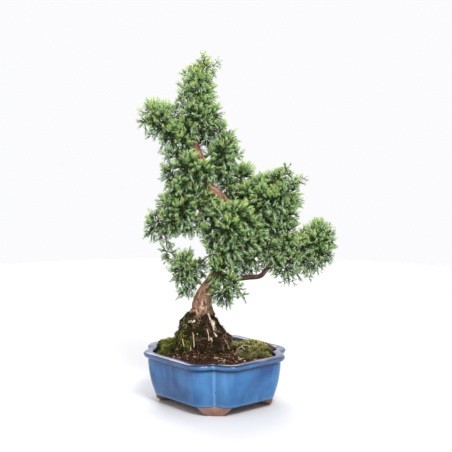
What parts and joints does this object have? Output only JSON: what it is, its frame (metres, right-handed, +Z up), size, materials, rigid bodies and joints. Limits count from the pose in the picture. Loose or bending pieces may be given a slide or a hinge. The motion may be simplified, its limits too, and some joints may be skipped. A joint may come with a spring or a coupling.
{
  "type": "kishu chinese juniper bonsai in a blue glazed pot",
  "caption": "Small Chinese juniper bonsai with an S-curved trunk and dense green sprays, rooted in soil and moss in a blue glazed ceramic pot on bracket feet.",
  "frame": {"origin": "middle of the bounding box, on the plane that the pot's feet stand on", "axes": "+Z up along the tree's height; -Y towards the display front; +X to the right seen from the front"},
  "size_m": [0.1998, 0.1454, 0.3498],
  "materials": {
    "glaze": "glossy mid blue glaze on fired clay, bare brown clay on the feet",
    "plastic": "matte dark mesh",
    "soil": "damp dark granular soil with fibres",
    "moss": "soft short moss, yellow green",
    "bark": "fibrous reddish brown bark with pale dead wood",
    "leaf": "scale leaves, waxy mid green with yellow green tips"
  },
  "bodies": {
    "root": {"pot": "glaze", "drain_mesh": "plastic", "soil": "soil", "moss_left": "moss", "moss_right": "moss", "trunk": "bark", "foliage_apex": "leaf", "foliage_crown": "leaf", "foliage_upper_left": "leaf", "foliage_upper_right": "leaf", "foliage_mid_left": "leaf", "foliage_left": "leaf", "foliage_low_left": "leaf", "foliage_centre": "leaf", "foliage_front_low": "leaf", "foliage_right": "leaf", "foliage_right_mid": "leaf", "foliage_right_low": "leaf", "foliage_back_right": "leaf", "foliage_back_low": "leaf", "foliage_back_mid": "leaf", "foliage_back_top": "leaf"}
  },
  "joints": []
}
